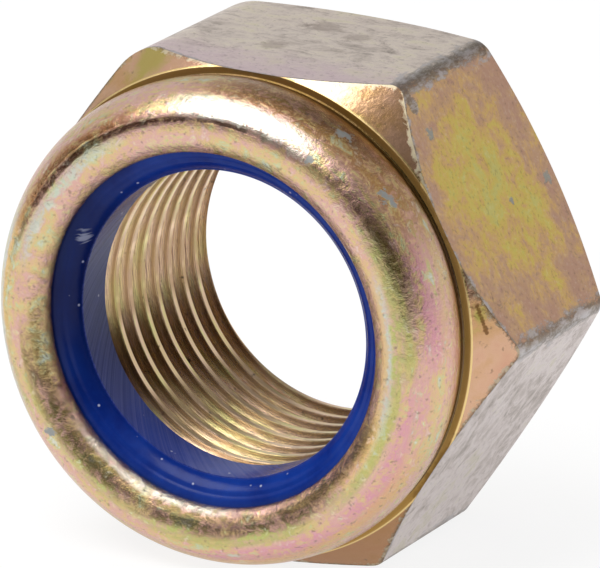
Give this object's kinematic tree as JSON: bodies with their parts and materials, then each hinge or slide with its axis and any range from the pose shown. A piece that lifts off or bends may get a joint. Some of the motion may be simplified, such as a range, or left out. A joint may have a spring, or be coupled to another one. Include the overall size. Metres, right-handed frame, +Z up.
{
  "type": "nylon insert lock nut",
  "caption": "Hexagon lock nut with a rolled collar that holds a nylon ring, threaded through; lies on one of its flats.",
  "frame": {"origin": "under the middle of the nut, on the surface it lies on", "axes": "+Y along the nut's axis, out of the bearing face; the collar faces -Y; +Z up, square to the flat it lies on"},
  "size_m": [0.0364, 0.0216, 0.0318],
  "materials": {
    "plated_steel": "yellow chromated zinc plating, satin",
    "nylon": "blue polyamide, glossy"
  },
  "bodies": {
    "root": {"nut_body": "plated_steel", "nylon_ring": "nylon"}
  },
  "joints": []
}
